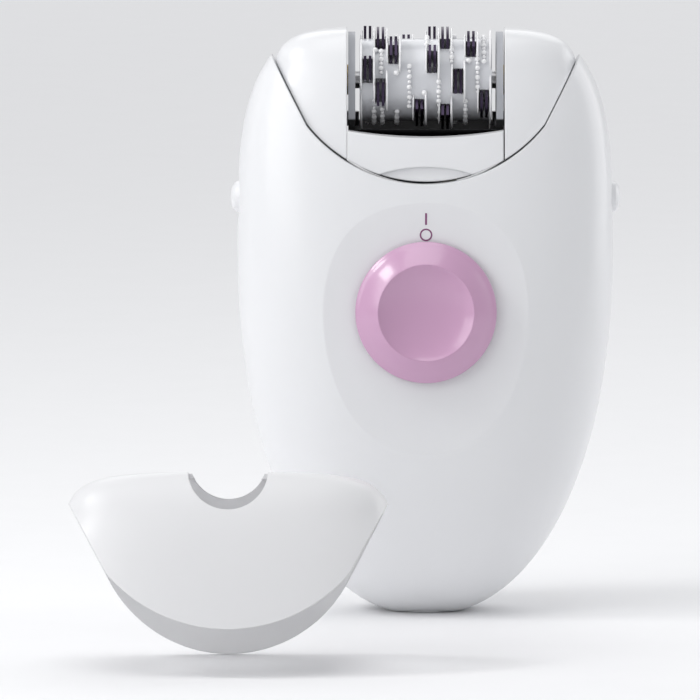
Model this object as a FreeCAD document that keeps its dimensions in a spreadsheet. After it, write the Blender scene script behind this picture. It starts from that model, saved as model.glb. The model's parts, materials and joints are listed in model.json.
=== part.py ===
import FreeCAD, Part
import Sketcher
import math
import os

# Epilator: an egg-shaped handle with a slide switch, a tweezer head that lifts off after its two side
# buttons are pressed, and a loose cap for the head.  Millimetres.  +Z runs up from the power inlet in the
# foot to the tweezer barrel, -Y is the front with the switch, and the origin is the mouth of the inlet.

Vector = FreeCAD.Vector
X, Y, Z = Vector(1, 0, 0), Vector(0, 1, 0), Vector(0, 0, 1)
doc = FreeCAD.newDocument("Epilator")

DRIVING = dict(
    half_width=32.0, widest_height=62.0, egg_height=102.4, foot_below=0.9,
    half_depth=19.5, deepest_height=32.0, wall=2.2,
    seam_tip_x=25.9, seam_tip_z=94.6, seam_knee_x=20.2, seam_knee_z=83.9, seam_low_z=74.4, seam_back_z=71.4,
    seam_gap=0.35,
    head_step=1.2, head_wall=1.4, head_top=99.8, opening_half=13.25, lip_top=83.2,
    barrel_z=90.9, drum_radius=7.6, drum_core=5.0, drum_half=11.25, tip_radius=9.2, column_pitch=2.2,
    gear_module=0.7, barrel_teeth=16, idler_teeth=15, spur_teeth=16, gear_width=3.0, gear_x=16.5,
    crown_module=0.6, crown_teeth=24, pinion_teeth=10,
    motor_radius=12.0, motor_top=57.2, motor_length=34.0,
    dish_y=17.44, dish_tilt=3.9, dish_z=49.5, dish_radius=334.0, dish_backing=1.7,
    button_radius=12.0, button_thick=4.2, button_z=52.8, button_dish=8.2, switch_travel=4.0,
    release_z=70.9, release_radius=2.8, release_out=33.3,
    inlet_bore=1.8, inlet_depth=12.0, inlet_foot=6.4,
    cap_wall=0.95, cap_window=13.2, cap_x=-33.1, cap_y=-79.0, cap_lean=9.0,
)

sheet = doc.addObject("Spreadsheet::Sheet", "Sizes")
for row, (alias, number) in enumerate(DRIVING.items(), start=1):
    sheet.set(f"A{row}", alias)
    sheet.set(f"B{row}", str(number))
    sheet.setAlias(f"B{row}", alias)
doc.recompute()


class Size(float):
    """A length read from the sheet, or worked out from such lengths, with the expression that gives it."""

    def __new__(cls, value, text):
        size = float.__new__(cls, value)
        size.text = text
        return size

    @staticmethod
    def text_of(other):
        return other.text if isinstance(other, Size) else repr(float(other))

    def __add__(self, other):
        return Size(float(self) + float(other), f"({self.text} + {Size.text_of(other)})")

    def __radd__(self, other):
        return Size(float(other) + float(self), f"({Size.text_of(other)} + {self.text})")

    def __sub__(self, other):
        return Size(float(self) - float(other), f"({self.text} - {Size.text_of(other)})")

    def __rsub__(self, other):
        return Size(float(other) - float(self), f"({Size.text_of(other)} - {self.text})")

    def __mul__(self, other):
        return Size(float(self) * float(other), f"({self.text} * {Size.text_of(other)})")

    __rmul__ = __mul__

    def __truediv__(self, other):
        return Size(float(self) / float(other), f"({self.text} / {Size.text_of(other)})")

    def __neg__(self):
        return Size(-float(self), f"(0 - {self.text})")


def size(alias):
    return Size(sheet.get(alias), f"Sizes.{alias}")


def bind(item, name, value):
    """Sets a property, and its expression too when the value comes from the sheet."""
    if "." not in name:
        setattr(item, name, float(value))
    if isinstance(value, Size):
        item.setExpression(name, value.text)


nodes = {}


def keep(name, item):
    """Labels a finished sub-part, so that it is written to its own file."""
    item.Label = name
    nodes[name] = item
    return item


# --------------------------------------------------------------------------- building blocks

def turn_from_z(axis):
    return FreeCAD.Rotation(Z, Vector(axis))


def place(item, base, rotation=None):
    item.Placement = FreeCAD.Placement(Vector(*[float(v) for v in base]), rotation or FreeCAD.Rotation())
    for letter, value in zip("xyz", base):
        if isinstance(value, Size):
            item.setExpression(f"Placement.Base.{letter}", value.text)


def block(low, high):
    """A box between two corners."""
    item = doc.addObject("Part::Box", "Block")
    for name, start, end in zip(("Length", "Width", "Height"), low, high):
        bind(item, name, end - start)
    place(item, low)
    return item


def rod(radius, length, base, axis=Z):
    """A cylinder from its base point along an axis."""
    item = doc.addObject("Part::Cylinder", "Rod")
    bind(item, "Radius", radius)
    bind(item, "Height", length)
    place(item, base, turn_from_z(axis))
    return item


def joined(*items):
    item = doc.addObject("Part::MultiFuse", "Joined")
    item.Shapes = list(items)
    return item


def less(base, *tools):
    item = doc.addObject("Part::Cut", "Less")
    item.Base = base
    item.Tool = tools[0] if len(tools) == 1 else joined(*tools)
    return item


def shaped(shape):
    """A feature that holds a shape made by the functions below from the sheet's sizes."""
    item = doc.addObject("Part::Feature", "Shaped")
    item.Shape = shape
    item.Placement = shape.Placement
    return item


def outline_sketch(body, role, outline):
    """A closed polygon on one of the body's origin planes, every corner bound to the sheet."""
    plane = next(f for f in body.Origin.OriginFeatures if f.Role == role)
    sketch = body.newObject("Sketcher::SketchObject", "Outline")
    sketch.AttachmentSupport = [(plane, "")]
    sketch.MapMode = "FlatFace"
    corners = [Vector(float(a), float(b), 0) for a, b in outline]
    for i, corner in enumerate(corners):
        sketch.addGeometry(Part.LineSegment(corner, corners[(i + 1) % len(corners)]), False)
    for i in range(len(corners)):
        sketch.addConstraint(Sketcher.Constraint("Coincident", i, 2, (i + 1) % len(corners), 1))
    for i, point in enumerate(outline):
        for kind, axis, value in zip(("DistanceX", "DistanceY"), (-2, -1), point):
            if abs(value) < 1e-9:
                sketch.addConstraint(Sketcher.Constraint("PointOnObject", i, 1, axis))
                continue
            index = sketch.addConstraint(Sketcher.Constraint(kind, -1, 1, i, 1, float(value)))
            if isinstance(value, Size):
                sketch.setExpression(f"Constraints[{index}]", value.text)
    return sketch


def turned(outline, base, axis=Z):
    """A piece of revolution: (radius, height) corners turned about the body's own Z axis."""
    body = doc.addObject("PartDesign::Body", "Turned")
    sketch = outline_sketch(body, "XZ_Plane", outline)
    feature = body.newObject("PartDesign::Revolution", "Turn")
    feature.Profile = sketch
    feature.ReferenceAxis = (sketch, ["V_Axis"])
    feature.Angle = 360
    place(body, base, turn_from_z(axis))
    return body


# --------------------------------------------------------------------------- the egg and its seam

widest, deepest = size("widest_height"), size("deepest_height")
foot_below, egg_top = size("foot_below"), size("egg_height")


def half_width(height, offset):
    """Half-width of the egg at a height: full and round below, closing late above."""
    reach = float(size("half_width")) + offset
    if height < widest:
        u = (widest - height) / (widest + foot_below + offset)
        return reach * max(0.0, 1 - u ** 2.15) ** (1 / 2.15)
    u = (height - widest) / (egg_top - widest + offset)
    return reach * max(0.0, 1 - u ** 3.4) ** (1 / 3.6)


def half_depth(height, offset):
    """Half-depth of the egg: deepest in the palm, slim at the tweezers."""
    reach = float(size("half_depth")) + offset
    if height < deepest:
        u = (deepest - height) / (deepest + foot_below + offset)
        return reach * max(0.0, 1 - u ** 2.2) ** (1 / 2.2)
    u = (height - deepest) / (egg_top - deepest + offset)
    return reach * max(0.0, 1 - u ** 1.9) ** (1 / 2.5)


def head_half_width(height, offset):
    """Half-width of the head or its cap: the egg's up to the handle's tips, then squarer shoulders."""
    shoulder_start, grow = 86.0, offset + float(size("head_step"))
    if height < size("seam_tip_z") - 0.9:
        return half_width(height, offset)
    u = (height - shoulder_start) / (float(size("head_top")) + 0.1 - shoulder_start + grow)
    return (float(size("seam_tip_x")) + grow) * max(0.0, 1 - u ** 5) ** (1 / 5)


def oval(height, offset, width=half_width):
    """One level section: an oval with a flattish front and back."""
    squareness, count = 2.7, 24
    across, deep = width(height, offset), half_depth(height, offset)
    points = []
    for i in range(count):
        angle = 2 * math.pi * (i + 0.5) / count
        c, s = math.cos(angle), math.sin(angle)
        points.append(Vector(across * math.copysign(abs(c) ** (2 / squareness), c),
                             deep * math.copysign(abs(s) ** (2 / squareness), s), height))
    curve = Part.BSplineCurve()
    curve.interpolate(Points=points, PeriodicFlag=True)
    return Part.Wire([curve.toShape()])


def egg(offset):
    """The egg as a solid, its surface moved out by the offset (in when it is negative)."""
    bottom = max(0.0, -foot_below - offset + 0.12)
    low_span, high_span = float(widest + foot_below) + offset, float(egg_top - widest) + offset
    start = math.acos((float(widest) - bottom) / low_span)
    levels = 10
    heights = [widest - low_span * math.cos(start + (math.pi / 2 - start) * i / (levels - 1))
               for i in range(levels)]
    heights += [widest + high_span * math.sin(math.radians(85.5) * i / levels) for i in range(1, levels + 1)]
    return Part.makeLoft([oval(float(z), offset) for z in heights], True, False)


def head_form(offset):
    """The upper part of the egg with the head's squarer shoulders, flat on top."""
    top = float(size("head_top")) + float(size("head_step")) + offset
    heights = [66.0 + 4.5 * i for i in range(6)]
    tip = float(size("seam_tip_z"))
    span = top - tip + 0.9
    heights += [tip - 0.9 + span * math.sin(math.radians(90) * i / 7) for i in range(8)]
    return Part.makeLoft([oval(z, offset, head_half_width) for z in heights], True, False)


def solid_box(x_low, x_high, y_low, y_high, z_low, z_high):
    return Part.makeBox(x_high - x_low, y_high - y_low, z_high - z_low, Vector(x_low, y_low, z_low))


def below_seam(raised):
    """Everything under the seam between handle and head, or under a line raised from it."""
    tip_x, tip_z = float(size("seam_tip_x")), float(size("seam_tip_z")) + raised
    knee_x, knee_z = float(size("seam_knee_x")), float(size("seam_knee_z")) + raised
    reach, floor_z = 45.0, -5.0
    end_z = knee_z + (tip_z - knee_z) / (tip_x - knee_x) * (reach - knee_x)
    halves = []
    for low_name, y_start, y_reach in (("seam_low_z", -reach, reach), ("seam_back_z", 0.0, reach)):
        left, right = Vector(-reach, y_start, end_z), Vector(reach, y_start, end_z)
        knee_left, knee_right = Vector(-knee_x, y_start, knee_z), Vector(knee_x, y_start, knee_z)
        lowest = Vector(0, y_start, float(size(low_name)) + raised)
        floor_left, floor_right = Vector(-reach, y_start, floor_z), Vector(reach, y_start, floor_z)
        edges = [Part.LineSegment(left, knee_left), Part.Arc(knee_left, lowest, knee_right),
                 Part.LineSegment(knee_right, right), Part.LineSegment(right, floor_right),
                 Part.LineSegment(floor_right, floor_left), Part.LineSegment(floor_left, left)]
        halves.append(Part.Face(Part.Wire([e.toShape() for e in edges])).extrude(Vector(0, y_reach, 0)))
    return halves[0].fuse(halves[1])


# --------------------------------------------------------------------------- the handle's shells

wall = float(size("wall"))
release_z = size("release_z")
boss_spots = [(-20.5, 50.0), (20.5, 50.0), (-17.5, 23.0), (17.5, 23.0)]
dish_tilt = math.radians(float(size("dish_tilt")))
slide_up = Vector(0, math.sin(dish_tilt), math.cos(dish_tilt))
slide_out = Vector(0, -math.cos(dish_tilt), math.sin(dish_tilt))
dish_point = Vector(0, -float(size("dish_y")), float(size("dish_z")))


def dish_roller():
    """The large roller, lying across the front, that hollows out the dish the switch button slides in."""
    radius = float(size("dish_radius"))
    middle = dish_point + slide_out * radius
    return Part.makeCylinder(radius, 80, middle - X * 40, X)


def dish_backing():
    """A thicker patch of wall behind the dish."""
    patch = Part.makeBox(30, 40, 6, Vector(-15, -20, -float(size("dish_backing"))))
    patch.Placement = FreeCAD.Placement(dish_point, FreeCAD.Rotation(X, slide_up, slide_out, "ZYX"))
    return patch.common(egg(-wall + 0.3))


def on_dish(height, lift=0.0):
    """The point at a height on the line that the switch slides along, lifted off it by a distance."""
    along = (height - dish_point.z) / slide_up.z
    return dish_point + slide_up * along + slide_out * lift


def slot_tool(width, length, centre, depth):
    """A round-ended slot through the front wall, along the switch's slide."""
    rotation = FreeCAD.Rotation(X, slide_up, slide_out, "ZYX")
    straight = Part.makeBox(width, length - width, depth, Vector(-width / 2, -(length - width) / 2, -depth / 2))
    ends = [Part.makeCylinder(width / 2, depth, Vector(0, side * (length - width) / 2, -depth / 2))
            for side in (-1, 1)]
    tool = straight.fuse(ends)
    tool.Placement = FreeCAD.Placement(centre, rotation)
    return tool


def release_hole():
    """The bores in both side walls that the release buttons pass through."""
    radius = float(size("release_radius")) + 0.3
    return Part.makeCylinder(radius, 80, Vector(-40, 0, float(release_z)), X)


def boss(x, z, radius, bore, y_from, y_to):
    tube = Part.makeCylinder(radius, y_to - y_from, Vector(x, y_from, z), Y)
    return tube.cut(Part.makeCylinder(bore, y_to - y_from, Vector(x, y_from, z), Y))


def handle_shells():
    hull = egg(0.0).common(below_seam(0.0))
    hollow = egg(-wall)
    skin = hull.cut(hollow).cut(release_hole())
    inlet = Part.makeCylinder(float(size("inlet_foot")) + 0.05, 4.0, Vector(0, 0, -1), Z)
    skin = skin.cut(inlet)
    for side in (-1, 1):
        skin = skin.cut(Part.makeSphere(9.0, Vector(side * 39.8, 0, float(release_z))))
    travel = float(size("switch_travel"))
    slot_middle = on_dish(float(size("button_z")) + travel / 2)
    front = skin.common(solid_box(-40, 40, -30, -0.03, -1, 110))
    front = front.fuse(dish_backing()).cut(dish_roller()).cut(slot_tool(6.4, travel + 10.4, slot_middle, 12))
    back = skin.common(solid_box(-40, 40, 0.03, 30, -1, 110))
    inside = egg(-wall + 0.3)
    for x, z in boss_spots:
        front = front.fuse(boss(x, z, 2.8, 1.15, -25, -0.03).common(inside))
        back = back.fuse(boss(x, z, 2.8, 1.5, 0.03, 25).common(inside))
        back = back.cut(Part.makeCylinder(2.35, 30, Vector(x, 6.0, z), Y))
    return front, back


front_shape, back_shape = handle_shells()
keep("front_shell", shaped(front_shape))
keep("rear_shell", shaped(back_shape))


def housing_screws():
    """Four pan-head screws from the back into the front shell's bosses."""
    shapes = []
    for x, z in boss_spots:
        head = Part.makeCylinder(2.1, 1.4, Vector(x, 6.0, z), Y)
        slot = Part.makeCylinder(0.9, 0.7, Vector(x, 6.7, z), Y)
        shank = Part.makeCylinder(1.1, 14.0, Vector(x, -8.0, z), Y)
        shapes.append(head.fuse(shank).cut(slot))
    return Part.makeCompound(shapes)


keep("housing_screws", shaped(housing_screws()))

# --------------------------------------------------------------------------- power inlet and electrics

inlet_foot, inlet_bore, inlet_depth = size("inlet_foot"), size("inlet_bore"), size("inlet_depth")
keep("power_inlet", turned([(inlet_bore, 0), (inlet_foot - 0.5, 0), (inlet_foot, 0.5), (inlet_foot, 1.6),
                            (inlet_foot - 2.2, 2.4), (inlet_foot - 2.2, inlet_depth + 1.5),
                            (0, inlet_depth + 1.5), (0, inlet_depth), (inlet_bore, inlet_depth)], (0, 0, 0)))
contact_base = inlet_depth + 1.5
keep("inlet_contacts", joined(block((-2.6, -0.4, contact_base), (-1.8, 0.4, contact_base + 3)),
                              block((1.8, -0.4, contact_base), (2.6, 0.4, contact_base + 3))))

board_y = -10.2
keep("circuit_board", less(block((-11.0, board_y - 1.2, 27.0), (11.0, board_y, 62.0)),
                           *(rod(1.3, 6.0, (x, board_y - 3, z), Y) for z in (59.5, 29.5) for x in (-8.5, 8.5))))
keep("board_parts", joined(block((-7.5, board_y - 3.4, 33.0), (-3.5, board_y - 1.2, 38.0)),
                           block((3.0, board_y - 2.8, 32.0), (8.0, board_y - 1.2, 36.0)),
                           *(rod(1.0, 5.0, (x, board_y - 2.2, 31.0)) for x in (-2.0, 0.6))))
keep("switch_block", block((-4.5, board_y - 3.0, 49.0), (4.5, board_y - 1.2, 60.5)))


def lead(points, radius, bend):
    """An insulated lead: straight runs joined by round bends."""
    edges, start = [], points[0]
    for before, corner, after in zip(points, points[1:], points[2:]):
        come, go = (corner - before).normalize(), (after - corner).normalize()
        arc_start, arc_end = corner - come * bend, corner + go * bend
        centre = arc_start + go * bend
        middle = centre + (corner - centre).normalize() * bend
        edges += [Part.LineSegment(start, arc_start), Part.Arc(arc_start, middle, arc_end)]
        start = arc_end
    edges.append(Part.LineSegment(start, points[-1]))
    path = Part.Wire([edge.toShape() for edge in edges])
    ring = Part.Wire([Part.Circle(points[0], points[1] - points[0], radius).toShape()])
    return path.makePipeShell([ring], True, False)


lead_y = board_y - 0.6
keep("inlet_leads", shaped(Part.makeCompound([
    lead([Vector(x, 0, 16.6), Vector(x, 0, 18.9), Vector(x, lead_y, 18.9), Vector(x, lead_y, 26.9)], 0.5, 1.5)
    for x in (-2.2, 2.2)])))
keep("motor_leads", shaped(Part.makeCompound([
    lead([Vector(x, -6, 19.4), Vector(x, -6, 16.4), Vector(x, lead_y, 16.4), Vector(x, lead_y, 26.9)], 0.5, 1.5)
    for x in (-5.0, 5.0)])))

# --------------------------------------------------------------------------- motor

motor_radius, motor_top, motor_length = size("motor_radius"), size("motor_top"), size("motor_length")
motor_flat, can_wall = 9.2, 0.8
motor_low = motor_top - motor_length


def flat_sided(radius, flat, low, height):
    """A round can with two flats, front and back."""
    item = doc.addObject("Part::MultiCommon", "FlatSided")
    item.Shapes = [rod(radius, height, (0, 0, low)),
                   block((-radius, -flat, low), (radius, flat, low + height))]
    return item


keep("motor_can", less(joined(flat_sided(motor_radius, motor_flat, motor_low, motor_length),
                              rod(3.0, 1.4, (0, 0, motor_top))),
                       flat_sided(motor_radius - can_wall, motor_flat - can_wall, motor_low, motor_length - can_wall),
                       rod(1.05, 5.0, (0, 0, motor_top - 2)),
                       rod(0.82, 3.0, (0, -6, motor_top - 2)), rod(0.82, 3.0, (0, 6, motor_top - 2))))
keep("motor_end_cap", less(flat_sided(motor_radius, motor_flat, motor_low - 2.0, 2.0),
                           rod(1.05, 3.0, (0, 0, motor_low - 2.5))))
keep("motor_terminals", joined(*[block((x - 0.8, -6.3, motor_low - 3.7), (x + 0.8, -5.7, motor_low - 2.0))
                                 for x in (-5.0, 5.0)]))
magnet_low, magnet_span = motor_low + 5.0, 22.0
magnets = doc.addObject("Part::MultiCommon", "Magnets")
magnets.Shapes = [less(rod(motor_radius - can_wall - 0.05, magnet_span, (0, 0, magnet_low)),
                       rod(7.2, magnet_span, (0, 0, magnet_low)),
                       block((-5.5, -12, magnet_low), (5.5, 12, magnet_low + magnet_span))),
                  block((-12, -8.3, magnet_low), (12, 8.3, magnet_low + magnet_span))]
keep("motor_magnets", magnets)
keep("motor_shaft", rod(1.0, motor_length + 8.8, (0, 0, motor_low - 2.6)))
keep("motor_armature", turned([(1.02, 0), (6.6, 0), (6.6, 18), (3.6, 20), (1.02, 20)], (0, 0, magnet_low + 1)))
keep("motor_commutator", turned([(1.02, 0), (2.6, 0), (2.6, 3.5), (1.02, 3.5)], (0, 0, motor_low + 1)))

# --------------------------------------------------------------------------- gears

PRESSURE = math.radians(20)


def gear_shape(module, teeth, width, bore, first_tooth, backlash=0.12, tip=0.9):
    """A spur gear with involute teeth: axis along X from x = 0, one tooth centred first_tooth from +Z."""
    pitch = module * teeth / 2
    base, outer, root = pitch * math.cos(PRESSURE), pitch + tip * module, pitch - 1.25 * module
    half_thick = (math.pi * module / 2 - backlash) / (2 * pitch)

    def flank_angle(radius):
        """Half the tooth's angle at a radius on its involute."""
        spread = math.acos(min(1.0, base / radius))
        return half_thick + math.tan(PRESSURE) - PRESSURE - (math.tan(spread) - spread)

    def point(radius, angle):
        return Vector(0, -radius * math.sin(angle), radius * math.cos(angle))

    start = max(base, root)
    radii = [start + (outer - start) * i / 4 for i in range(5)]
    edges, corners = [], []
    for tooth in range(teeth):
        middle = first_tooth + 2 * math.pi * tooth / teeth
        rising = [point(r, middle - flank_angle(r)) for r in radii]
        falling = [point(r, middle + flank_angle(r)) for r in reversed(radii)]
        foot_in, foot_out = point(root, middle - flank_angle(start)), point(root, middle + flank_angle(start))
        corners += [foot_in] + rising + falling + [foot_out]
    edges = [Part.LineSegment(a, b).toShape() for a, b in zip(corners, corners[1:] + corners[:1])
             if a.distanceToPoint(b) > 1e-6]
    blank = Part.Face(Part.Wire(edges)).extrude(Vector(width, 0, 0))
    return blank.cut(Part.makeCylinder(bore, width, Vector(0, 0, 0), X))


gear_module, gear_width, gear_x = (float(size(n)) for n in ("gear_module", "gear_width", "gear_x"))
barrel_teeth, idler_teeth, spur_teeth = (int(float(size(n))) for n in
                                         ("barrel_teeth", "idler_teeth", "spur_teeth"))
barrel_z = size("barrel_z")
idler_z = float(barrel_z) - gear_module * (barrel_teeth + idler_teeth) / 2
crown_z = idler_z - gear_module * (idler_teeth + spur_teeth) / 2


def spur(teeth, bore, height, first_tooth):
    shape = gear_shape(gear_module, teeth, gear_width, bore, first_tooth)
    shape.translate(Vector(gear_x, 0, height))
    return shape


crown_module, crown_teeth, pinion_teeth = (float(size(n)) for n in ("crown_module", "crown_teeth", "pinion_teeth"))
pinion_pitch, crown_pitch = crown_module * pinion_teeth / 2, crown_module * crown_teeth / 2
crown_face, crown_deep = pinion_pitch - 0.25, 1.0
crown_back = crown_face + crown_deep


def crown_shape():
    """A face gear: a disc whose teeth stand towards the motor pinion, with a hub."""
    inner, outer, tip_half, root_half = crown_pitch - 0.9, crown_pitch + 0.9, 0.22, 0.56
    disc = Part.makeCylinder(outer, 1.5, Vector(crown_back, 0, crown_z), X)
    hub = Part.makeCylinder(2.2, 4.5, Vector(crown_back, 0, crown_z), X)
    profile = [Vector(crown_face, -tip_half, 0), Vector(crown_back + 0.2, -root_half, 0),
               Vector(crown_back + 0.2, root_half, 0), Vector(crown_face, tip_half, 0)]
    tooth = Part.Face(Part.makePolygon(profile + profile[:1])).extrude(Vector(0, 0, outer - inner))
    teeth = []
    for i in range(int(crown_teeth)):
        one = tooth.copy()
        one.translate(Vector(0, 0, crown_z + inner))
        one.rotate(Vector(0, 0, crown_z), X, 180 + 360 / crown_teeth * (i + 0.5))
        teeth.append(one)
    ring = Part.makeCylinder(outer, crown_deep + 1, Vector(crown_face - 0.1, 0, crown_z), X)
    body = disc.fuse(hub).fuse([one.common(ring) for one in teeth])
    return body.cut(Part.makeCylinder(1.02, 20, Vector(0, 0, crown_z), X))


def pinion_shape():
    shape = gear_shape(crown_module, int(pinion_teeth), 2.6, 1.02, 0.0, backlash=0.16, tip=0.7)
    shape.rotate(Vector(0, 0, 0), Y, -90)
    shape.translate(Vector(0, 0, crown_z - crown_pitch - 1.1))
    return shape


keep("motor_pinion", shaped(pinion_shape()))
keep("crown_gear", shaped(crown_shape()))
keep("drive_gear", shaped(spur(spur_teeth, 1.02, crown_z, 0.0)))
keep("idler_gear", shaped(spur(idler_teeth, 1.05, idler_z, 0.0)))
keep("barrel_gear", shaped(spur(barrel_teeth, 1.52, float(barrel_z), math.pi / barrel_teeth)))
arm_x = gear_x + gear_width + 1.0
keep("gear_axle", rod(1.0, arm_x + 1.6 + 5.8, (-5.8, 0, crown_z), X))
keep("idler_pin", rod(1.0, arm_x + 1.6 - gear_x + 0.6, (gear_x - 0.6, 0, idler_z), X))

plate_low = motor_top + 0.2
keep("gear_frame", less(joined(block((-12.0, -9.0, plate_low), (23.0, 9.0, plate_low + 1.6)),
                               block((-5.8, -4.5, plate_low), (-4.2, 4.5, crown_z + 2.6)),
                               block((10.4, -4.5, plate_low), (12.0, 4.5, crown_z + 2.6)),
                               block((arm_x, -4.0, plate_low), (arm_x + 1.6, 4.0, idler_z + 2.4))),
                        rod(3.1, 4.0, (0, 0, plate_low - 1)),
                        rod(0.85, 4.0, (0, -6, plate_low - 1)), rod(0.85, 4.0, (0, 6, plate_low - 1)),
                        rod(1.05, 40.0, (-10, 0, crown_z), X), rod(1.02, 4.0, (arm_x - 1, 0, idler_z), X)))
keep("motor_screws", joined(*[joined(rod(0.8, 2.4, (0, y, plate_low - 0.8)),
                                     rod(1.5, 0.8, (0, y, plate_low + 1.6))) for y in (-6, 6)]))

# --------------------------------------------------------------------------- switch

button_radius, button_thick = size("button_radius"), size("button_thick")
button_lift = 0.7
button_centre = on_dish(float(size("button_z")), button_lift)
slide_turn = FreeCAD.Rotation(X, slide_up, slide_out, "ZYX")


def on_slide(item, lift=0.0, along=0.0):
    """Places a piece whose own Z points out of the switch's flat."""
    item.Placement = FreeCAD.Placement(button_centre + slide_out * lift + slide_up * along, slide_turn)
    return item


def button_outline():
    """Half the button's section: a round rim with a shallow finger dish."""
    dish = size("button_dish")
    return [(0, 0), (button_radius - 0.6, 0), (button_radius, 0.6), (button_radius, button_thick * 0.45),
            (button_radius - 0.7, button_thick * 0.75), (button_radius - 2.0, button_thick * 0.94),
            (dish + 0.6, button_thick), (dish, button_thick * 0.97), (dish - 1.5, button_thick * 0.72),
            (dish - 4.0, button_thick * 0.56), (0, button_thick * 0.5)]


keep("switch_button", on_slide(turned(button_outline(), (0, 0, 0))))


def slider_shape():
    """The stem through the wall, the carriage behind it and the fork on the switch's lever."""
    back = -(button_lift + float(size("dish_backing")) + 0.25)
    stem = Part.makeBox(5.6, 6.4, -back, Vector(-2.8, -3.2, back))
    carriage = Part.makeBox(12.0, 13.0, 0.9, Vector(-6.0, -6.5, back - 0.9))
    return stem.fuse(carriage)


def lever_shape():
    return Part.makeBox(2.4, 2.4, 0.5, Vector(-1.2, -1.2, -4.15))


keep("switch_slider", on_slide(shaped(slider_shape())))
keep("switch_lever", on_slide(shaped(lever_shape())))

# --------------------------------------------------------------------------- release buttons

release_radius, release_out = size("release_radius"), size("release_out")
nose_tip, nose_radius, guide_start, guide_end, latch_thick = 24.0, 1.6, 27.6, 28.8, 1.2
for side, side_name in ((-1, "left"), (1, "right")):
    neck, flange, reach = guide_start - nose_tip, guide_end - nose_tip, release_out - nose_tip
    keep(f"release_button_{side_name}",
         turned([(0, 0), (nose_radius, 0), (nose_radius, neck), (3.9, neck), (3.9, flange), (release_radius, flange),
                 (release_radius, reach - 1.7), (release_radius * 0.88, reach - 0.8),
                 (release_radius * 0.6, reach - 0.25), (0, reach)],
                (side * nose_tip, 0, release_z), X * side))

# --------------------------------------------------------------------------- the tweezer head

head_step, head_top = float(size("head_step")), float(size("head_top"))
cheek_in, opening = 12.0, float(size("opening_half"))
shoulder_x = opening + 0.15
cavity_offset = -(head_step + float(size("head_wall")))
lip_top = float(size("lip_top"))
trough_outer, lip_sag = 12.6, 1.1
roller_z, roller_x, roller_radius = float(barrel_z) - 6.6, 12.7, 1.35
head_block = head_form(-head_step).cut(below_seam(float(size("seam_gap"))))
head_hollow = head_form(cavity_offset)


def roller_pocket():
    return solid_box(-15.0, 15.0, -1.9, 1.9, roller_z - 1.5, roller_z + 1.5)


def shoulder(side):
    """One end housing of the head, open below, with the barrel's shaft hole in its inner wall."""
    low, high = sorted((side * shoulder_x, side * 40.0))
    outer = head_block.common(solid_box(low, high, -30, 30, 60, head_top + 1))
    low, high = sorted((side * (shoulder_x + 1.0), side * 40.0))
    hollow = head_hollow.common(solid_box(low, high, -30, 30, 0, head_top))
    hole = Part.makeCylinder(2.6, 40, Vector(-20, 0, float(barrel_z)), X)
    return outer.cut(hollow).cut(hole.common(solid_box(low - 2, high + 2, -5, 5, 80, 99))).cut(roller_pocket())


def lip_panel(side):
    """The front or back cover between the shoulders, with a flange back to the barrel's trough."""
    half = opening - 0.05
    trough_edge = math.sqrt(trough_outer ** 2 - (float(barrel_z) - lip_top) ** 2) + 0.05
    near, far = sorted((side * trough_edge, side * 30.0))
    window = solid_box(-half, half, near, far, 60, lip_top)
    skin = head_block.common(window).cut(head_hollow)
    flange = head_block.common(window).common(solid_box(-half, half, near, far, lip_top - 2.4, lip_top))
    sag_radius = half ** 2 / (2 * lip_sag)
    sag = Part.makeCylinder(sag_radius, 80, Vector(0, -40, lip_top - lip_sag + sag_radius), Y)
    return skin.fuse(flange).cut(sag)


def finger_scoop(depth):
    """The shallow crescent over the front seam for a fingertip."""
    radius, rise = 26.0, 2.8
    disc = Part.makeCylinder(radius, 40, Vector(0, -40, float(size("seam_low_z")) + rise - radius), Y)
    return disc.cut(egg(-head_step - depth))


keep("head_shoulder_left", shaped(shoulder(-1)))
keep("head_shoulder_right", shaped(shoulder(1)))
keep("head_front_panel", shaped(lip_panel(-1).cut(finger_scoop(0.6))))
keep("head_rear_panel", shaped(lip_panel(1)))


def head_frame():
    """The inner frame: a round trough under the barrel between two cheeks that carry its bushes."""
    half, inner, outer = opening - 0.05, trough_outer - 1.0, trough_outer
    trough = Part.makeCylinder(outer, 2 * half, Vector(-half, 0, float(barrel_z)), X)
    trough = trough.common(solid_box(-half, half, -20, 20, 60, lip_top))
    trough = trough.cut(Part.makeCylinder(inner, 2 * cheek_in, Vector(-cheek_in, 0, float(barrel_z)), X))
    shape = trough
    for side in (-1, 1):
        low, high = sorted((side * cheek_in, side * half))
        cheek = Part.makeCylinder(8.2, half - cheek_in, Vector(low, 0, float(barrel_z)), X)
        shape = shape.fuse(cheek).fuse(solid_box(low, high, -8.2, 8.2, 79.5, float(barrel_z)))
    shape = shape.cut(Part.makeCylinder(2.6, 40, Vector(-20, 0, float(barrel_z)), X)).cut(roller_pocket())
    for side in (-1, 1):
        shape = shape.cut(Part.makeCylinder(0.52, 5.0, Vector(side * roller_x, 0, roller_z - 2.5), Z))
    return shape


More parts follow.
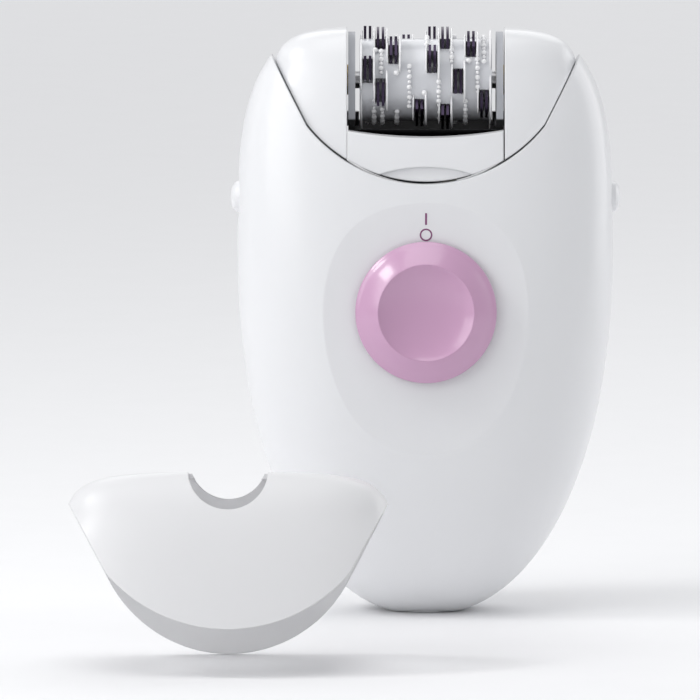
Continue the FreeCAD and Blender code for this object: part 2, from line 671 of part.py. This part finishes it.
keep("head_frame", shaped(head_frame()))
for side, side_name in ((-1, "left"), (1, "right")):
    bush_x = side * cheek_in
    keep(f"barrel_bush_{side_name}", turned([(1.55, 0), (2.58, 0), (2.58, 2.3), (1.55, 2.3)],
                                            (bush_x, 0, barrel_z), X * side))
    keep(f"roller_axle_{side_name}", rod(0.5, 4.8, (side * roller_x, 0, roller_z - 2.4)))
    keep(f"pressure_roller_{side_name}", turned([(0.56, 0), (roller_radius, 0), (roller_radius, 2.4), (0.56, 2.4)],
                                                (side * roller_x, 0, roller_z - 1.2)))
    low, high = sorted((side * (nose_tip - 0.3 - latch_thick), side * (nose_tip - 0.3)))
    arm = solid_box(low, high, -3.2, 3.2, 66.5, head_top).common(head_form(cavity_offset - 0.02))
    window = nose_radius + 0.5
    middle = float(release_z)
    arm = arm.cut(solid_box(-30, 30, -window, window, middle - window, middle + window))
    keep(f"latch_arm_{side_name}", shaped(arm))

# --------------------------------------------------------------------------- the barrel

drum_radius, drum_core, drum_half = (float(size(n)) for n in ("drum_radius", "drum_core", "drum_half"))
pitch, tip_radius = float(size("column_pitch")), float(size("tip_radius"))
columns = [pitch * (i - 4.5) for i in range(10)]
front_spots = [(0, 18), (1, 70), (1, -11), (2, 45), (4, -41), (5, 32), (6, 71), (6, -49), (7, 3), (8, 56),
               (9, -27)]
back_spots = [(i, 112 + (i * 53) % 130) for i in range(10)]
tweezer_spots = front_spots + back_spots
gap_half, plate_thick, tweezer_gap = 0.78, 0.45, 0.4


def around_barrel(shape, angle):
    """Turns a shape that stands on +Z of the barrel's axis to an angle up from the front."""
    shape.rotate(Vector(0, 0, float(barrel_z)), X, 90 - angle)
    return shape


def drum_shape():
    """A core with a disc at each side of every column, and a blade on the disc beside each tweezer."""
    centre = Vector(-drum_half, 0, float(barrel_z))
    body = Part.makeCylinder(drum_radius, 2 * drum_half, centre, X)
    core = Part.makeCylinder(drum_core, 2 * drum_half, centre, X)
    for x in columns:
        ring = Part.makeCylinder(20, 2 * gap_half, Vector(x - gap_half, 0, float(barrel_z)), X)
        body = body.cut(ring.cut(core))
    blades = []
    for i, angle in tweezer_spots:
        blade = Part.makeBox(0.4, 4.8, 4.0, Vector(columns[i] + gap_half + 0.02, -2.4, float(barrel_z) + 5.0))
        top = Part.makeCylinder(tip_radius - 0.2, 1, Vector(columns[i] + gap_half, 0, float(barrel_z)), X)
        blades.append(around_barrel(blade.common(top), angle))
    body = body.fuse(blades)
    return body.cut(Part.makeCylinder(1.52, 2 * drum_half, centre, X))


def tweezers(offset):
    """Plates in the columns, one beside each tweezer spot's middle, standing past the drum."""
    plates = []
    for i, angle in tweezer_spots:
        foot = Vector(columns[i] + offset, -2.1, float(barrel_z) + drum_core + 0.06)
        one = Part.makeBox(plate_thick, 4.2, 10.0, foot)
        top = Part.makeCylinder(tip_radius, 4, Vector(columns[i] - 2, 0, float(barrel_z)), X)
        plates.append(around_barrel(one.common(top), angle))
    return Part.makeCompound(plates)


keep("barrel_drum", shaped(drum_shape()))
keep("barrel_shaft", rod(1.5, 14.35 + gear_x + gear_width + 0.3, (-14.35, 0, barrel_z), X))
keep("fixed_tweezers", shaped(tweezers(-tweezer_gap / 2 - plate_thick)))
keep("moving_tweezers", shaped(tweezers(tweezer_gap / 2)))

# --------------------------------------------------------------------------- the cap


cap_gap = 0.15


def cap_shape():
    """A shell over the whole head with a round-ended window in front, over the top and behind."""
    cap_wall = float(size("cap_wall"))
    top = head_top + head_step
    shell = head_form(0.0).cut(head_form(-cap_wall)).cut(below_seam(cap_gap))
    half = float(size("cap_window")) / 2
    for y_from, depth in ((-30, 6.4), (-0.5, 3.9)):
        corner = half * 0.62
        centre_z = top - depth + half
        notch = Part.makeCylinder(half, 30.5, Vector(0, y_from, centre_z), Y)
        notch = notch.fuse(solid_box(-half, half, y_from, y_from + 30.5, centre_z, centre_z + corner + 10))
        shell = shell.cut(notch)
    return shell


def stored_cap():
    """The cap beside the handle: on its back edge, leaning back towards the handle."""
    shape, back_edge = cap_shape(), float(size("seam_back_z")) + cap_gap
    lean = float(size("cap_lean"))
    shape.rotate(Vector(0, 0, back_edge), X, -lean)
    dip = half_depth(back_edge, 0.0) * math.sin(math.radians(lean))
    shape.translate(Vector(size("cap_x"), size("cap_y"), dip - back_edge + 0.02))
    return shape


keep("cap", shaped(stored_cap()))

# --------------------------------------------------------------------------- check and write

doc.recompute()
for item in doc.Objects:
    if "Invalid" in item.State or "Error" in item.State:
        raise RuntimeError(f"{item.Label} did not recompute: {item.State}")
os.makedirs("parts", exist_ok=True)
for name, item in nodes.items():
    if item.Shape.isNull() or not item.Shape.isValid():
        raise RuntimeError(f"{name} has no valid shape")
    item.Shape.exportStep(f"parts/{name}.step")
print(len(nodes), "sub-parts written")
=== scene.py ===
import json
import math

import bmesh
import bpy
from mathutils import Matrix, Vector
from mathutils.bvhtree import BVHTree


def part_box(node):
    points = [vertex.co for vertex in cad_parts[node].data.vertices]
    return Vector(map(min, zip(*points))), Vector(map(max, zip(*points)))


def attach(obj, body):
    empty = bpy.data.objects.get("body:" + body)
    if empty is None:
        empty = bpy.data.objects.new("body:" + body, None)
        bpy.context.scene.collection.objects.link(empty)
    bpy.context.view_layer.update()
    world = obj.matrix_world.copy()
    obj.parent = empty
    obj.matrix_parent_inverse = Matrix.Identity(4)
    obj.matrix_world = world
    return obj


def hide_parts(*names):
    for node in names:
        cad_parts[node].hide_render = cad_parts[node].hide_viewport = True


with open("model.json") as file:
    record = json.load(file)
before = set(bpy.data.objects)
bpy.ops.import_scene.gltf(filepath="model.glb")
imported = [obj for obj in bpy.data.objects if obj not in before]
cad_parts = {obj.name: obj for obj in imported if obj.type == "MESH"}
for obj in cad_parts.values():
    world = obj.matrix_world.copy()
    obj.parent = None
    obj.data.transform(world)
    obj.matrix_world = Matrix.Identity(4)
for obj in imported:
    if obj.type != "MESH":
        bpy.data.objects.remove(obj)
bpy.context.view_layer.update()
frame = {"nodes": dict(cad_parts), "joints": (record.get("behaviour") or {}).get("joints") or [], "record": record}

MM = 0.001
scene = bpy.context.scene
scene.view_settings.view_transform = "Standard"


# ------------------------------------------------------------------ materials

def shader(name):
    """A new node material, its tree and its shader."""
    material = bpy.data.materials.new(name)
    material.use_nodes = True
    tree = material.node_tree
    return material, tree, tree.nodes["Principled BSDF"]


def node(tree, kind, **values):
    """A node with its properties and, by name, its inputs set."""
    item = tree.nodes.new(kind)
    for key, value in values.items():
        if hasattr(item, key):
            setattr(item, key, value)
        else:
            item.inputs[key.replace("_", " ")].default_value = value
    return item


def noise(tree, scale, detail=3.0, stretch=(1, 1, 1)):
    """Object-space noise, so that it has a real size in metres, stretched along axes where asked."""
    place = node(tree, "ShaderNodeTexCoord")
    mapping = node(tree, "ShaderNodeMapping")
    mapping.inputs["Scale"].default_value = stretch
    tree.links.new(place.outputs["Object"], mapping.inputs["Vector"])
    texture = node(tree, "ShaderNodeTexNoise", Scale=scale, Detail=detail)
    tree.links.new(mapping.outputs["Vector"], texture.inputs["Vector"])
    return texture.outputs["Fac"]


def tinted(tree, fac, low, high):
    """Blends two colours by a factor."""
    ramp = node(tree, "ShaderNodeValToRGB")
    ramp.color_ramp.elements[0].position, ramp.color_ramp.elements[1].position = 0.3, 0.7
    ramp.color_ramp.elements[0].color = (*low, 1)
    ramp.color_ramp.elements[1].color = (*high, 1)
    tree.links.new(fac, ramp.inputs["Fac"])
    return ramp.outputs["Color"]


def ranged(tree, fac, low, high):
    """Maps a 0..1 factor to a range of numbers."""
    item = node(tree, "ShaderNodeMapRange")
    item.inputs["To Min"].default_value, item.inputs["To Max"].default_value = low, high
    tree.links.new(fac, item.inputs["Value"])
    return item.outputs["Result"]


def bumped(tree, surface, height, strength, distance, edge=0.0):
    """A fine surface relief, and edges rounded over a given radius."""
    bump = node(tree, "ShaderNodeBump", Strength=strength, Distance=distance)
    tree.links.new(height, bump.inputs["Height"])
    if edge:
        rounded = node(tree, "ShaderNodeBevel", samples=6, Radius=edge)
        tree.links.new(rounded.outputs["Normal"], bump.inputs["Normal"])
    tree.links.new(bump.outputs["Normal"], surface.inputs["Normal"])


def shade(colour, factor):
    return tuple(min(1.0, c * factor) for c in colour)


def plastic(name, colour, rough, variation=0.02, grain=0.02, coat=0.0, milky=0.0, edge=0.0):
    """Moulded plastic: faint flow marks in the colour, a fine satin grain, patchy gloss from handling."""
    material, tree, surface = shader(name)
    flow = noise(tree, 90, 2.0)
    colour_out = tinted(tree, flow, shade(colour, 1 - variation), shade(colour, 1 + variation * 0.5))
    tree.links.new(colour_out, surface.inputs["Base Color"])
    wear = ranged(tree, noise(tree, 350, 4.0), rough - 0.01, rough + 0.015)
    tree.links.new(wear, surface.inputs["Roughness"])
    bumped(tree, surface, noise(tree, 9000, 2.0), grain * 4, 0.00002, edge)
    surface.inputs["IOR"].default_value = 1.5
    surface.inputs["Coat Weight"].default_value = coat
    surface.inputs["Coat Roughness"].default_value = 0.12
    if milky:
        surface.inputs["Subsurface Weight"].default_value = milky
        surface.inputs["Subsurface Radius"].default_value = (0.9, 0.85, 0.85)
        surface.inputs["Subsurface Scale"].default_value = 0.0015
    return material


def metal(name, colour, rough, stretch=(1, 1, 14), scale=1200):
    """Machined metal: fine lines along one direction in the gloss and the surface."""
    material, tree, surface = shader(name)
    lines = noise(tree, scale, 3.0, stretch)
    colour_out = tinted(tree, lines, shade(colour, 0.86), shade(colour, 1.06))
    tree.links.new(colour_out, surface.inputs["Base Color"])
    tree.links.new(ranged(tree, lines, rough - 0.06, rough + 0.1), surface.inputs["Roughness"])
    bumped(tree, surface, lines, 0.12, 0.00002)
    surface.inputs["Metallic"].default_value = 1.0
    return material


def frame_plastic(name, low_z, high_z):
    """The head frame's plastic: near black below a given height, in the trough under the barrel, and pale
    translucent grey above it at the cheeks.
    """
    material, tree, surface = shader(name)
    place = node(tree, "ShaderNodeTexCoord")
    split = node(tree, "ShaderNodeSeparateXYZ")
    tree.links.new(place.outputs["Object"], split.inputs["Vector"])
    rise = node(tree, "ShaderNodeMapRange")
    rise.inputs["From Min"].default_value, rise.inputs["From Max"].default_value = low_z, high_z
    tree.links.new(split.outputs["Z"], rise.inputs["Value"])
    tree.links.new(tinted(tree, rise.outputs["Result"], (0.002, 0.002, 0.0025), (0.42, 0.43, 0.46)),
                   surface.inputs["Base Color"])
    surface.inputs["Specular IOR Level"].default_value = 0.25
    tree.links.new(ranged(tree, noise(tree, 500, 3.0), 0.45, 0.6), surface.inputs["Roughness"])
    bumped(tree, surface, noise(tree, 7000, 2.0), 0.06, 0.00002)
    return material


def board_lacquer(name):
    """Green board lacquer with fine copper tracks under it."""
    material, tree, surface = shader(name)
    tracks = node(tree, "ShaderNodeTexBrick", Scale=260.0)
    tracks.inputs["Color1"].default_value = (0.015, 0.10, 0.035, 1)
    tracks.inputs["Color2"].default_value = (0.012, 0.085, 0.03, 1)
    tracks.inputs["Mortar"].default_value = (0.04, 0.17, 0.06, 1)
    place = node(tree, "ShaderNodeTexCoord")
    turn = node(tree, "ShaderNodeMapping")
    turn.inputs["Rotation"].default_value = (math.pi / 2, 0, 0)
    tree.links.new(place.outputs["Object"], turn.inputs["Vector"])
    tree.links.new(turn.outputs["Vector"], tracks.inputs["Vector"])
    tree.links.new(tracks.outputs["Color"], surface.inputs["Base Color"])
    tree.links.new(ranged(tree, noise(tree, 600, 2.0), 0.25, 0.4), surface.inputs["Roughness"])
    return material


WHITE = (0.80, 0.805, 0.82)
MATERIALS = {
    "white_gloss": plastic("white_shell", WHITE, 0.30, variation=0.004, grain=0.012, coat=0.2,
                           edge=0.00045),
    # the cap's own whitish translucent plastic, with its colour set darker than the body white as painted shade
    "cap_white": plastic("cap_shell", (0.75, 0.75, 0.76), 0.36, variation=0.004, grain=0.012,
                         milky=0.08, edge=0.0003),
    "mauve": plastic("mauve_button", (0.58, 0.335, 0.51), 0.30, variation=0.01, coat=0.6, edge=0.0002),
    # the drum's white plastic set a darker grey than its blades and beads: painted shade on the drum between them
    "drum_white": plastic("drum", (0.66, 0.67, 0.70), 0.22, variation=0.01, coat=0.4, edge=0.00012),
    "tweezer_steel": metal("dark_tweezers", (0.045, 0.035, 0.06), 0.22, (14, 1, 1)),
    "steel": metal("ground_steel", (0.58, 0.58, 0.60), 0.28),
    "zinc_can": metal("zinc_plate", (0.60, 0.61, 0.62), 0.35, (1, 1, 1), 400),
    "ferrite": plastic("ferrite", (0.03, 0.03, 0.032), 0.7, variation=0.2, grain=0.1),
    "black_plastic": plastic("black_plastic", (0.02, 0.02, 0.022), 0.42, variation=0.15, grain=0.06),
    "grey_plastic": plastic("grey_plastic", (0.33, 0.33, 0.35), 0.45, variation=0.05, grain=0.06),
    "gear_plastic": plastic("acetal", (0.80, 0.78, 0.70), 0.35, variation=0.04, milky=0.1),
    "brass": metal("brass", (0.74, 0.55, 0.25), 0.25, (1, 1, 8)),
    "copper": metal("copper", (0.72, 0.40, 0.24), 0.3, (1, 1, 20)),
    "board_green": board_lacquer("board"),
    "lead_insulation": plastic("lead_insulation", (0.40, 0.03, 0.03), 0.4, variation=0.05, grain=0.05),
}
# the same white plastic as the drum, set lighter for the blades and beads: painted light, so they read as lit
# against the shaded drum
FIN_WHITE_PAINTED_LIGHT = plastic("fins", (0.90, 0.90, 0.91), 0.25, variation=0.01, coat=0.3)
PRINT = plastic("printed_mark", (0.22, 0.065, 0.17), 0.4, variation=0.05)


def dress_cad_nodes():
    """Gives every CAD node the material of its slot."""
    slots = {row["node"]: row["material_slot"] for row in frame["record"]["subparts"]}
    for name, item in frame["nodes"].items():
        chosen = MATERIALS[slots[name]]
        if name == "head_frame":
            chosen = frame_plastic("frame_plastic", low_z=0.0845, high_z=0.0852)
        item.data.materials.clear()
        item.data.materials.append(chosen)


# ------------------------------------------------------------------ mesh helpers

def finished(name, mesh_builder, material, body, smooth=35):
    """Turns a bmesh into an object that rides on a body and takes the given material."""
    bmesh.ops.remove_doubles(mesh_builder, verts=mesh_builder.verts, dist=1e-7)
    bmesh.ops.recalc_face_normals(mesh_builder, faces=mesh_builder.faces)
    mesh = bpy.data.meshes.new(name)
    for face in mesh_builder.faces:
        face.smooth = True
    mesh_builder.to_mesh(mesh)
    mesh_builder.free()
    mesh.set_sharp_from_angle(angle=math.radians(smooth))
    mesh.materials.append(material)
    item = bpy.data.objects.new(name, mesh)
    bpy.context.collection.objects.link(item)
    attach(item, body)
    return item


def lathe(builder, profile, turn, segments=96):
    """Adds a turned solid: (radius, height) points about the Z of the matrix it is placed with."""
    rings = []
    for radius, height in profile:
        if radius < 1e-9:
            rings.append([builder.verts.new(turn @ Vector((0, 0, height)))])
            continue
        angles = [2 * math.pi * i / segments for i in range(segments)]
        rings.append([builder.verts.new(turn @ Vector((radius * math.cos(a), radius * math.sin(a), height)))
                      for a in angles])
    for low, high in zip(rings, rings[1:]):
        for i in range(segments):
            j = (i + 1) % segments
            corners = [low[i % len(low)], low[j % len(low)], high[j % len(high)], high[i % len(high)]]
            corners = list(dict.fromkeys(corners))
            if len(corners) > 2:
                builder.faces.new(corners)


def curve_through(points, steps=6):
    """A smooth profile through given points (Catmull-Rom)."""
    ends = [points[0]] + list(points) + [points[-1]]
    result = []
    for a, b, c, d in zip(ends, ends[1:], ends[2:], ends[3:]):
        for step in range(steps):
            t = step / steps
            result.append(tuple(
                0.5 * (2 * b[k] + (c[k] - a[k]) * t + (2 * a[k] - 5 * b[k] + 4 * c[k] - d[k]) * t ** 2
                       + (3 * b[k] - a[k] - 3 * c[k] + d[k]) * t ** 3) for k in range(2)))
    result.append(tuple(points[-1]))
    return [(max(0.0, r), h) for r, h in result]


def scaled(profile):
    return [(r * MM, h * MM) for r, h in profile]


def joint(name):
    return next(row for row in frame["joints"] if row["name"] == name)


# ------------------------------------------------------------------ switch button

def switch_button():
    """The round thumb button: a thin foot rim, a cone and, inside its crest, a concave dish."""
    low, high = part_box("switch_button")
    up = Vector(joint("switch_slide")["axis"]).normalized()
    out = Vector((0, -up.z, up.y))
    radius, thick = 12.0, 4.2
    centre = (Vector(low) + Vector(high)) / 2
    base = centre - out * (thick / 2) * MM
    turn = Matrix((Vector((1, 0, 0)), up, out)).transposed().to_4x4()
    turn.translation = base
    foot = [(0, 0), (radius - 0.3, 0), (radius, 0.25), (radius, 0.95), (radius - 0.12, 1.12),
            (radius - 0.42, 1.3)]
    cone = [(11.2, 1.62), (10.2, 2.62), (9.2, 3.46), (8.5, 4.0), (8.28, 4.15), (8.15, thick)]
    dish = [(8.0, 4.1), (7.4, 3.74), (6.2, 3.25), (4.4, 2.8), (2.2, 2.52), (0, 2.45)]
    builder = bmesh.new()
    lathe(builder, scaled(foot + curve_through(cone, 3) + curve_through(dish, 4)), turn)
    item = finished("thumb_button", builder, MATERIALS["mauve"], "switch", smooth=28)
    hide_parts("switch_button")


# ------------------------------------------------------------------ tweezer barrel

BARREL_Z = joint("barrel_spin")["pos_m"][2]
PITCH, DRUM_HALF, DRUM_R, FLOOR_R = 2.2, 11.25, 7.0, 5.0
COLUMNS = [PITCH * (i - 4.5) for i in range(10)]
# Each tweezer's column and its angle up from the front.
FRONT_SPOTS = [(0, 18), (1, 70), (1, -11), (2, 45), (4, -41), (5, 32), (6, 71), (6, -49), (7, 3), (8, 56),
               (9, -27)]
BACK_SPOTS = [(i, 112 + (i * 53) % 130) for i in range(10)]
SPOTS = FRONT_SPOTS + BACK_SPOTS


def on_barrel(x, radius, angle):
    """A point on the barrel: millimetres along the axis and from it, degrees up from the front."""
    a = math.radians(angle)
    return Vector((x * MM, -radius * math.cos(a) * MM, BARREL_Z + radius * math.sin(a) * MM))


def drum_surface(builder):
    """The drum: a skin with a sunk pocket around each tweezer, stepped in cells along and around."""
    pocket_x, pocket_angle, shaft = 0.84, 17.5, 1.55
    xs = sorted({-DRUM_HALF, DRUM_HALF} | {round(c + s * pocket_x, 3) for c in COLUMNS for s in (-1, 1)}
                | {round(c + PITCH / 2, 3) for c in COLUMNS[:-1]})
    edges = {round((a + s * pocket_angle) % 360, 2) for _, a in SPOTS for s in (-1, 1)}
    angles = sorted(edges | {a for a in range(0, 360, 5) if all(abs(a - e) > 1.2 for e in edges)})

    def radius(k, j):
        x = (xs[k] + xs[k + 1]) / 2
        a = (angles[j] + (angles[(j + 1) % len(angles)] - angles[j]) % 360 / 2) % 360
        for column, spot in SPOTS:
            off = abs((a - spot + 180) % 360 - 180)
            if abs(x - COLUMNS[column]) < pocket_x and off < pocket_angle:
                return FLOOR_R
        return DRUM_R

    def quad(*corners):
        builder.faces.new([builder.verts.new(on_barrel(*corner)) for corner in corners])

    for k in range(len(xs) - 1):
        for j, a in enumerate(angles):
            b, here = angles[(j + 1) % len(angles)], radius(k, j)
            quad((xs[k], here, a), (xs[k + 1], here, a), (xs[k + 1], here, b), (xs[k], here, b))
            nxt = radius(k, (j + 1) % len(angles))
            if nxt != here:
                quad((xs[k], here, b), (xs[k + 1], here, b), (xs[k + 1], nxt, b), (xs[k], nxt, b))
            side = radius(k + 1, j) if k + 2 < len(xs) else shaft
            if side != here:
                quad((xs[k + 1], here, a), (xs[k + 1], side, a), (xs[k + 1], side, b), (xs[k + 1], here, b))
            if k == 0:
                quad((xs[0], shaft, a), (xs[0], here, a), (xs[0], here, b), (xs[0], shaft, b))


def blade(builder, x, middle, half_span, top, thick=0.44, foot=6.75):
    """A thin guide blade that rises from the drum and runs out to a point at both ends."""
    steps = 14
    rows = []
    for i in range(steps + 1):
        t = i / steps * 2 - 1
        rise = foot + (top - foot) * (1 - abs(t) ** 3.0) ** 0.6
        half = thick / 2 * (0.55 + 0.45 * (1 - t * t))
        angle = middle + half_span * t
        side = ((half, foot - 0.3), (half * 0.8, rise - 0.12), (half * 0.3, rise))
        section = [(-dx, r) for dx, r in side] + list(reversed(side))
        rows.append([builder.verts.new(on_barrel(x + dx, r, angle)) for dx, r in section])
    for low, high in zip(rows, rows[1:]):
        for i in range(len(low)):
            j = (i + 1) % len(low)
            builder.faces.new((low[i], low[j], high[j], high[i]))
    builder.faces.new(rows[0])
    builder.faces.new(list(reversed(rows[-1])))


def pearl(builder, x, angle, size, radius=7.35):
    """One bead, sunk a little into the drum."""
    centre = on_barrel(x, radius, angle)
    made = bmesh.ops.create_icosphere(builder, subdivisions=2, radius=size * MM)
    bmesh.ops.translate(builder, verts=made["verts"], vec=centre)


# Each chain's place along the axis and its two end angles.
CHAINS = [(-7.6, 46, 14), (-8.8, -17, -80), (-2.8, 23, -33), (2.2, 2, -58), (8.8, 46, -11),
          (-7.4, -38, -80), (-4.9, -43, -80), (6.75, -25, -80), (4.4, 60, 30), (-5.0, 88, 60),
          (0.2, 84, 60), (9.9, 84, 30)]
SINGLE_PEARLS = [(-5.0, 14), (-0.25, -13), (-8.6, 48), (7.3, 31), (4.9, 4)]


def free_of_tweezers(x, angle, size):
    """Whether a bead keeps clear of every tweezer's plates, open or closed."""
    plate_reach, plate_angle = 0.72, 22
    for column, spot in SPOTS:
        off = abs((angle - spot + 180) % 360 - 180)
        if abs(x - COLUMNS[column]) < plate_reach + size and off < plate_angle:
            return False
    return True


def massage_beads(builder):
    """Chains of beads and single ones between the tweezers, and the same at the back, mirrored."""
    big, small, single, step = 0.46, 0.33, 0.5, 6.6
    for turn, flip in ((0, 1), (180, -1)):
        for x, start, end in CHAINS:
            count = round(abs(end - start) / step)
            for i in range(count + 1):
                angle = start + (end - start) * i / count
                size = big if i % 2 == 0 else small
                if free_of_tweezers(x * flip, angle + turn, size):
                    pearl(builder, x * flip, angle + turn, size)
        for x, angle in SINGLE_PEARLS:
            if free_of_tweezers(x * flip, angle + turn, single):
                pearl(builder, x * flip, angle + turn, single)


def barrel():
    """The drum with its pockets, in a darker white as painted shade; on it the guide blades, end fins and massage
    beads, in a lighter white as painted light.
    """
    builder = bmesh.new()
    drum_surface(builder)
    drum = finished("tweezer_drum", builder, MATERIALS["drum_white"], "barrel", smooth=38)
    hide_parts("barrel_drum")
    builder = bmesh.new()
    for column, angle in SPOTS:
        blade(builder, COLUMNS[column] + 1.08, angle, half_span=31, top=9.1, thick=0.5)
        blade(builder, COLUMNS[column] - 1.02, angle + 3, half_span=22, top=8.7, thick=0.4)
    end_fins = {-11.0: (30, -55, 150, 235), 11.0: (60, -30, 145, 240)}
    for x, middles in end_fins.items():
        for middle in middles:
            blade(builder, x, middle, half_span=42, top=9.1, thick=0.45)
    massage_beads(builder)
    finished("barrel_fins", builder, FIN_WHITE_PAINTED_LIGHT, "barrel", smooth=38)


# ------------------------------------------------------------------ printed marks

def front_surface():
    """Finds the handle's front surface from the CAD node, for what is printed on it."""
    shell = frame["nodes"]["front_shell"]
    tree = BVHTree.FromObject(shell, bpy.context.evaluated_depsgraph_get())
    before_y = -0.1

    def at(x, z, lift):
        hit = tree.ray_cast(Vector((x, before_y, z)), Vector((0, 1, 0)))[0]
        return hit + Vector((0, -lift, 0))
    return at


def printed_mark(name, outline, closed_ring, surface):
    """A thin printed layer between pairs of edge points, laid on the front surface."""
    proud, sunk = 0.00004, -0.00003
    builder = bmesh.new()
    top = [[builder.verts.new(surface(x, z, proud)) for x, z in pair] for pair in outline]
    low = [[builder.verts.new(surface(x, z, sunk)) for x, z in pair] for pair in outline]
    count = len(outline) if closed_ring else len(outline) - 1
    for i in range(count):
        j = (i + 1) % len(outline)
        builder.faces.new((top[i][0], top[j][0], top[j][1], top[i][1]))
        builder.faces.new((low[i][0], low[i][1], low[j][1], low[j][0]))
        for edge in (0, 1):
            builder.faces.new((top[i][edge], low[i][edge], low[j][edge], top[j][edge]))
    if not closed_ring:
        for i in (0, -1):
            builder.faces.new((top[i][0], top[i][1], low[i][1], low[i][0]))
    return finished(name, builder, PRINT, "handle")


def switch_marks():
    """The bar for on and the ring for off, above the button."""
    surface = front_surface()
    bar_low, bar_high, bar_half = 0.0676, 0.0696, 0.00017
    steps = 6
    heights = [bar_low + (bar_high - bar_low) * i / steps for i in range(steps + 1)]
    printed_mark("mark_on", [((-bar_half, z), (bar_half, z)) for z in heights], False, surface)
    middle, outer, inner = 0.0659, 0.00107, 0.00082
    segments = 48
    ring = [tuple((r * math.cos(a), middle + r * math.sin(a)) for r in (inner, outer))
            for a in (2 * math.pi * i / segments for i in range(segments))]
    printed_mark("mark_off", ring, True, surface)


# ------------------------------------------------------------------ camera, light and stage

def camera():
    """A long lens at the photograph's angle: straight on and slightly from above."""
    distance, tilt, aim = 2.5, math.radians(6.0), Vector((-0.0129, 0.0, 0.0445))
    width_seen, sensor = 0.1197, 36.0
    data = bpy.data.cameras.new("camera")
    data.sensor_width = sensor
    data.lens = sensor * distance / width_seen
    item = bpy.data.objects.new("camera", data)
    item.location = aim + Vector((0, -math.cos(tilt), math.sin(tilt))) * distance
    item.rotation_euler = (math.pi / 2 - tilt, 0, 0)
    bpy.context.collection.objects.link(item)
    scene.camera = item


def area(name, place, size, power, aim=(0, 0, 0.055)):
    """A soft square light aimed at the object."""
    data = bpy.data.lights.new(name, "AREA")
    data.shape, data.size, data.energy = "SQUARE", size, power
    item = bpy.data.objects.new(name, data)
    item.location = place
    item.rotation_euler = (Vector(aim) - Vector(place)).to_track_quat("-Z", "Y").to_euler()
    bpy.context.collection.objects.link(item)


def studio():
    """A wide pale floor under an even sky, and soft light from the upper left."""
    reach, below = 6.0, -0.00005
    builder = bmesh.new()
    corners = ((-1, -1), (1, -1), (1, 1), (-1, 1))
    builder.faces.new([builder.verts.new((x * reach, y * reach, below)) for x, y in corners])
    mesh = bpy.data.meshes.new("floor")
    builder.to_mesh(mesh)
    builder.free()
    mesh.materials.append(plastic("floor_paper", (0.88, 0.88, 0.89), 0.7, variation=0.005, grain=0.01))
    item = bpy.data.objects.new("floor", mesh)
    bpy.context.collection.objects.link(item)
    world = bpy.data.worlds.new("studio")
    scene.world = world
    world.use_nodes = True
    world.node_tree.nodes["Background"].inputs["Color"].default_value = (0.97, 0.98, 1, 1)
    world.node_tree.nodes["Background"].inputs["Strength"].default_value = 0.54
    area("key", (-0.62, -0.40, 0.36), 0.5, 1.8)
    area("glint", (-0.42, -0.10, 0.47), 0.14, 0.7, aim=(0, -0.02, 0.053))
    area("top", (-0.05, -0.15, 0.8), 0.5, 1.3)
    area("right_edge", (0.6, 0.25, 0.25), 0.5, 1.1)
    area("backdrop", (0.2, 1.9, 1.5), 2.0, 12.0, aim=(0.1, 1.4, 0.0))


camera()
dress_cad_nodes()
switch_button()
barrel()
switch_marks()
studio()
